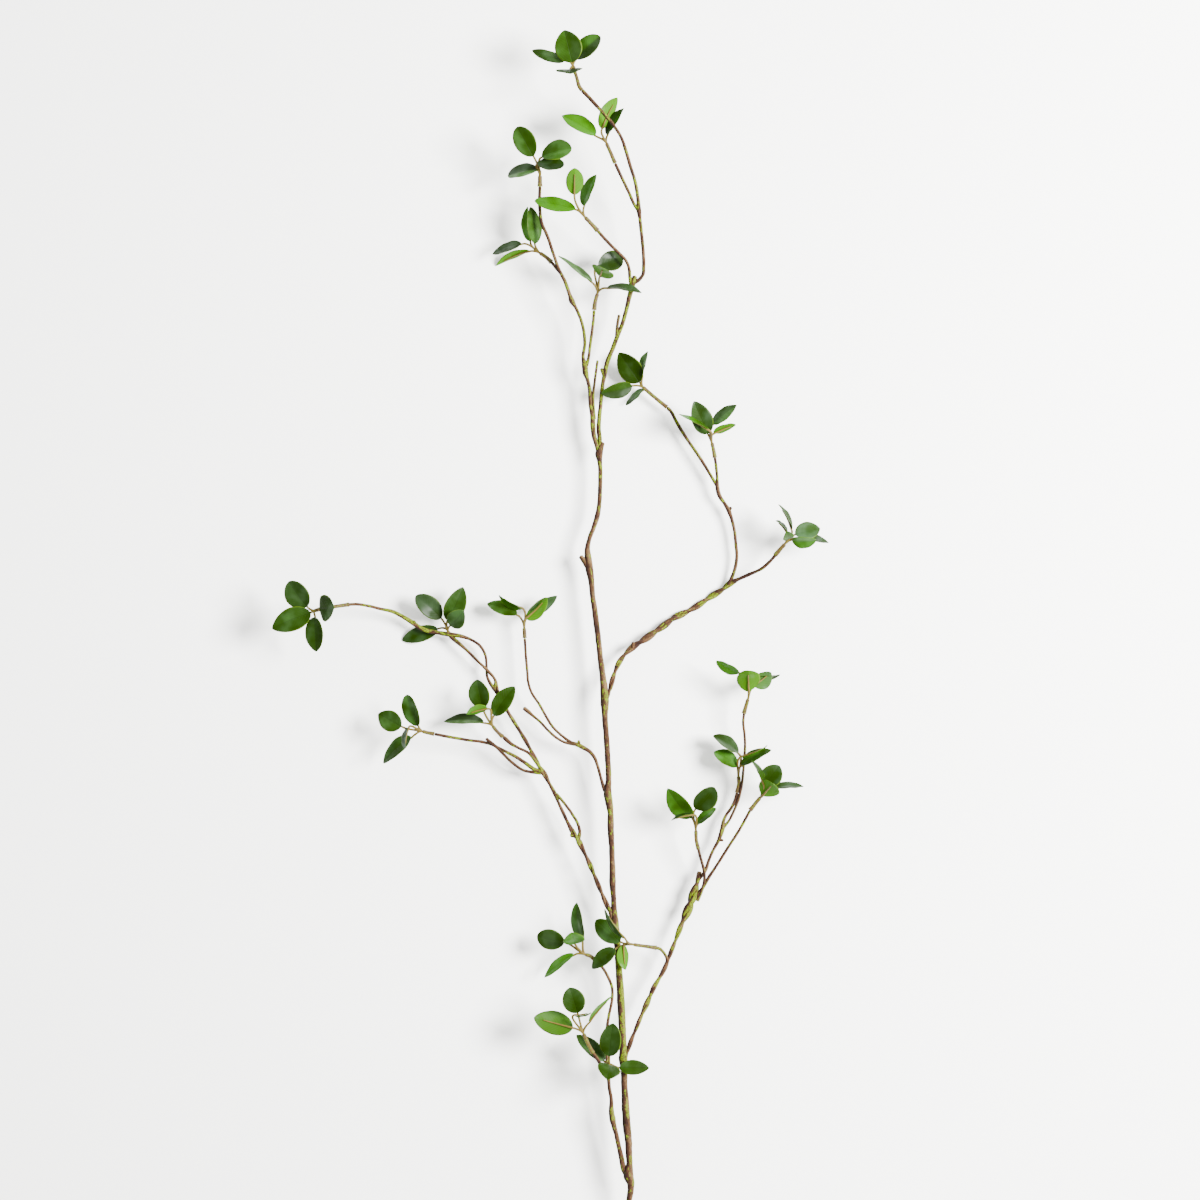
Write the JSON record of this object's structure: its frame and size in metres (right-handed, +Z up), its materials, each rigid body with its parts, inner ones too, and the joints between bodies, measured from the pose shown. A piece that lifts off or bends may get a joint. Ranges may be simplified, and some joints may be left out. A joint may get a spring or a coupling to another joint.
{
  "type": "lemon leaf branch",
  "caption": "Made branch of lemon leaves: a thin bark-wrapped forked stem with tufts of oval green cloth leaves at its twig ends, lying flat.",
  "frame": {"origin": "middle of the outline seen from above, on the surface it lies on", "axes": "+Y along the main stem from its cut end to its top, +X to the right as seen from above, +Z up away from the surface"},
  "size_m": [0.4393, 1.013, 0.0761],
  "materials": {
    "bark": "matt bark-like wrap with moss",
    "sprig": "matt moulded tan stalk",
    "leaf": "waxy satin cloth"
  },
  "bodies": {
    "root": {"main_stem": "bark", "upper_left_branch": "bark", "upper_right_branch": "bark", "right_branch": "bark", "small_left_branch": "bark", "left_branch": "bark", "lower_right_branch": "bark", "lower_left_branch": "bark", "leaf_spray_01": "leaf", "leaf_spray_02": "leaf", "leaf_spray_03": "leaf", "leaf_spray_04": "leaf", "leaf_spray_05": "leaf", "leaf_spray_06": "leaf", "leaf_spray_07": "leaf", "leaf_spray_08": "leaf", "leaf_spray_09": "leaf", "leaf_spray_10": "leaf", "leaf_spray_11": "leaf", "leaf_spray_12": "leaf", "leaf_spray_13": "leaf", "leaf_spray_14": "leaf", "leaf_spray_15": "leaf", "leaf_spray_16": "leaf", "leaf_spray_17": "leaf", "leaf_spray_18": "leaf", "leaf_spray_19": "leaf", "leaf_spray_20": "leaf", "leaf_spray_21": "leaf", "leaf_spray_22": "leaf"}
  },
  "joints": []
}
